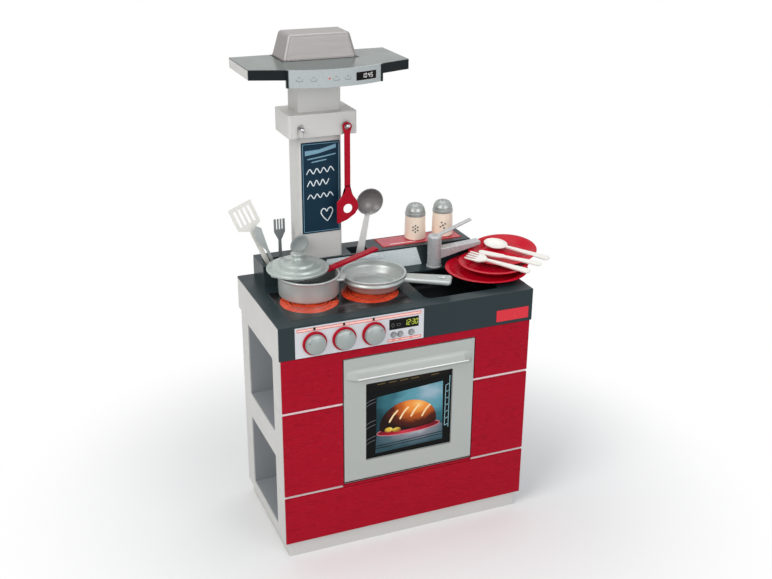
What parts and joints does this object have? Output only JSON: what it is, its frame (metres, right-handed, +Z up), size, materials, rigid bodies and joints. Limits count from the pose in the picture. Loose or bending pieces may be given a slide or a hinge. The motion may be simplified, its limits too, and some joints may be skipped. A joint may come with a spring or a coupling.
{
  "type": "toy play kitchen with oven",
  "caption": "Toddler play kitchen: hinged oven door with window, knobs, hob, sink, tap, extractor tower with chalkboard and hooks, side compartments, pots, plates, cutlery and utensils.",
  "frame": {"origin": "centre of the footprint on the floor (plan centre of the worktop), on the underside of the plinth", "axes": "+Z up, -Y towards the child (the oven door's side), +X to the right seen from the front"},
  "size_m": [0.5829, 0.2885, 0.92],
  "materials": {
    "light_grey": "fine moulded",
    "bay_grey": "fine moulded",
    "red_woodgrain": "embossed wood grain, satin",
    "dark_liner": "satin black",
    "slate": "fine moulded, dark slate",
    "silver_grey": "pearl silver",
    "clear_pane": "clear",
    "steel": "plain",
    "panel_white": "printed sticker plate",
    "red_gloss": "glossy",
    "silver_gloss": "metallised",
    "steel_look": "brushed",
    "dish_silver": "silver satin",
    "chalk_blue": "chalkboard foil",
    "white_plastic": "satin",
    "utensil_grey": "silver satin",
    "cream": "satin"
  },
  "bodies": {
    "cabinet": {"base_plinth": "light_grey", "tier_lower": "light_grey", "tier_middle": "light_grey", "tier_upper": "light_grey", "shelf_insert": "bay_grey", "front_upper": "red_woodgrain", "front_middle": "red_woodgrain", "front_lower": "red_woodgrain", "oven_liner": "dark_liner", "oven_shelf": "steel", "worktop_frame": "light_grey", "worktop_cover": "slate", "hob_plate": "dark_liner", "sink_basin": "dark_liner", "control_panel": "panel_white", "knob_collars": "red_gloss", "ledge_body": "light_grey", "ledge_cover": "slate", "ledge_inlay": "red_gloss", "screws": "steel", "column": "light_grey", "hook_box": "light_grey", "hook_pegs": "silver_gloss", "chalkboard": "chalk_blue", "canopy": "light_grey", "canopy_cover": "slate", "hood_strip": "silver_gloss", "chimney": "steel_look", "tap_base": "silver_grey"},
    "oven_door": {"door_frame": "silver_grey", "door_window": "clear_pane", "hinge_pins": "steel"},
    "left_knob": {"knob_left": "silver_gloss"},
    "middle_knob": {"knob_middle": "silver_gloss"},
    "right_knob": {"knob_right": "silver_gloss"},
    "left_button": {"button_left": "silver_gloss"},
    "middle_button": {"button_middle": "silver_gloss"},
    "right_button": {"button_right": "silver_gloss"},
    "spout": {"tap_spout": "silver_grey"},
    "lever": {"tap_lever": "silver_grey"},
    "saucepan": {"pot": "dish_silver"},
    "lid": {"pot_lid": "dish_silver"},
    "cooking_spoon": {"pot_spoon": "red_gloss"},
    "frying_pan": {"pan": "dish_silver"},
    "lower_plate": {"plate_1": "red_gloss"},
    "middle_plate": {"plate_2": "red_gloss"},
    "upper_plate": {"plate_3": "red_gloss"},
    "white_fork": {"cutlery_fork": "white_plastic"},
    "white_knife": {"cutlery_knife": "white_plastic"},
    "white_spoon": {"cutlery_spoon": "white_plastic"},
    "first_shaker": {"shaker_left": "cream", "shaker_left_cap": "silver_gloss"},
    "second_shaker": {"shaker_right": "cream", "shaker_right_cap": "silver_gloss"},
    "hanging_spoon": {"corner_spoon": "red_gloss"},
    "slotted_turner": {"turner": "white_plastic"},
    "grey_knife": {"table_knife": "utensil_grey"},
    "grey_fork": {"table_fork": "utensil_grey"},
    "grey_spoon": {"table_spoon": "utensil_grey"},
    "soup_ladle": {"ladle": "utensil_grey"}
  },
  "joints": [
    {"name": "door_hinge", "type": "hinge", "parent": "cabinet", "child": "oven_door", "pos_m": [0, -0.1223, 0.142], "axis": [1, 0, 0], "range_deg": [0, 90]},
    {"name": "left_knob_turn", "type": "hinge", "parent": "cabinet", "child": "left_knob", "pos_m": [-0.181, -0.13, 0.431], "axis": [0, 1, 0], "range_deg": [-67, 203]},
    {"name": "middle_knob_turn", "type": "hinge", "parent": "cabinet", "child": "middle_knob", "pos_m": [-0.127, -0.13, 0.431], "axis": [0, 1, 0], "range_deg": [-162, 108]},
    {"name": "right_knob_turn", "type": "hinge", "parent": "cabinet", "child": "right_knob", "pos_m": [-0.072, -0.13, 0.431], "axis": [0, 1, 0], "range_deg": [-185, 85]},
    {"name": "left_button_push", "type": "slide", "parent": "cabinet", "child": "left_button", "axis": [0, 1, 0], "range_m": [0, 0.0015], "stiffness_N_per_m": 200, "springref_m": -0.001},
    {"name": "middle_button_push", "type": "slide", "parent": "cabinet", "child": "middle_button", "axis": [0, 1, 0], "range_m": [0, 0.0015], "stiffness_N_per_m": 200, "springref_m": -0.001},
    {"name": "right_button_push", "type": "slide", "parent": "cabinet", "child": "right_button", "axis": [0, 1, 0], "range_m": [0, 0.0015], "stiffness_N_per_m": 200, "springref_m": -0.001},
    {"name": "spout_swivel", "type": "hinge", "parent": "cabinet", "child": "spout", "pos_m": [0.124, 0.044, 0.49], "axis": [0, 0, 1], "range_deg": [-10, 8]},
    {"name": "lever_turn", "type": "hinge", "parent": "spout", "child": "lever", "pos_m": [0.124, 0.044, 0.52], "axis": [0, 0, 1], "range_deg": [-60, 25]},
    {"name": "pot_lift", "type": "slide", "parent": "cabinet", "child": "saucepan", "axis": [0, -0.6, 0.8], "range_m": [0, 0.05]},
    {"name": "cooking_spoon_lift", "type": "slide", "parent": "saucepan", "child": "cooking_spoon", "axis": [-0.5381, -0.3459, 0.7687], "range_m": [0, 0.05]},
    {"name": "lid_lift", "type": "slide", "parent": "cooking_spoon", "child": "lid", "axis": [0, -0.6, 0.8], "range_m": [0, 0.05]},
    {"name": "pan_lift", "type": "slide", "parent": "cabinet", "child": "frying_pan", "axis": [0.8479, -0.399, 0.3491], "range_m": [0, 0.04]},
    {"name": "lower_plate_lift", "type": "slide", "parent": "cabinet", "child": "lower_plate", "axis": [0.9685, -0.2421, 0.0581], "range_m": [0, 0.04]},
    {"name": "middle_plate_lift", "type": "slide", "parent": "lower_plate", "child": "middle_plate", "axis": [-0.1479, -0.9859, 0.0789], "range_m": [0, 0.02]},
    {"name": "upper_plate_lift", "type": "slide", "parent": "middle_plate", "child": "upper_plate", "axis": [0.8284, -0.466, 0.3107], "range_m": [0, 0.015]},
    {"name": "white_fork_lift", "type": "slide", "parent": "upper_plate", "child": "white_fork", "axis": [0.2683, -0.3578, 0.8944], "range_m": [0, 0.03]},
    {"name": "white_knife_lift", "type": "slide", "parent": "upper_plate", "child": "white_knife", "axis": [0, 0, 1], "range_m": [0, 0.03]},
    {"name": "white_spoon_lift", "type": "slide", "parent": "upper_plate", "child": "white_spoon", "axis": [0, 0, 1], "range_m": [0, 0.03]},
    {"name": "first_shaker_lift", "type": "slide", "parent": "cabinet", "child": "first_shaker", "axis": [0, 0, 1], "range_m": [0, 0.05]},
    {"name": "second_shaker_lift", "type": "slide", "parent": "cabinet", "child": "second_shaker", "axis": [0, 0, 1], "range_m": [0, 0.05]},
    {"name": "hanging_spoon_off", "type": "slide", "parent": "cabinet", "child": "hanging_spoon", "axis": [0, -0.9348, 0.3552], "range_m": [0, 0.013]},
    {"name": "turner_lift", "type": "slide", "parent": "cabinet", "child": "slotted_turner", "axis": [-0.3889, 0, 0.9213], "range_m": [0, 0.05]},
    {"name": "grey_knife_lift", "type": "slide", "parent": "cabinet", "child": "grey_knife", "axis": [-0.3569, 0, 0.9341], "range_m": [0, 0.05]},
    {"name": "grey_fork_lift", "type": "slide", "parent": "cabinet", "child": "grey_fork", "axis": [-0.0064, 0, 1], "range_m": [0, 0.05]},
    {"name": "grey_spoon_lift", "type": "slide", "parent": "cabinet", "child": "grey_spoon", "axis": [0.2083, -0.4026, 0.8914], "range_m": [0, 0.05]},
    {"name": "ladle_lift", "type": "slide", "parent": "cabinet", "child": "soup_ladle", "axis": [0.1794, -0.047, 0.9826], "range_m": [0, 0.05]}
  ]
}
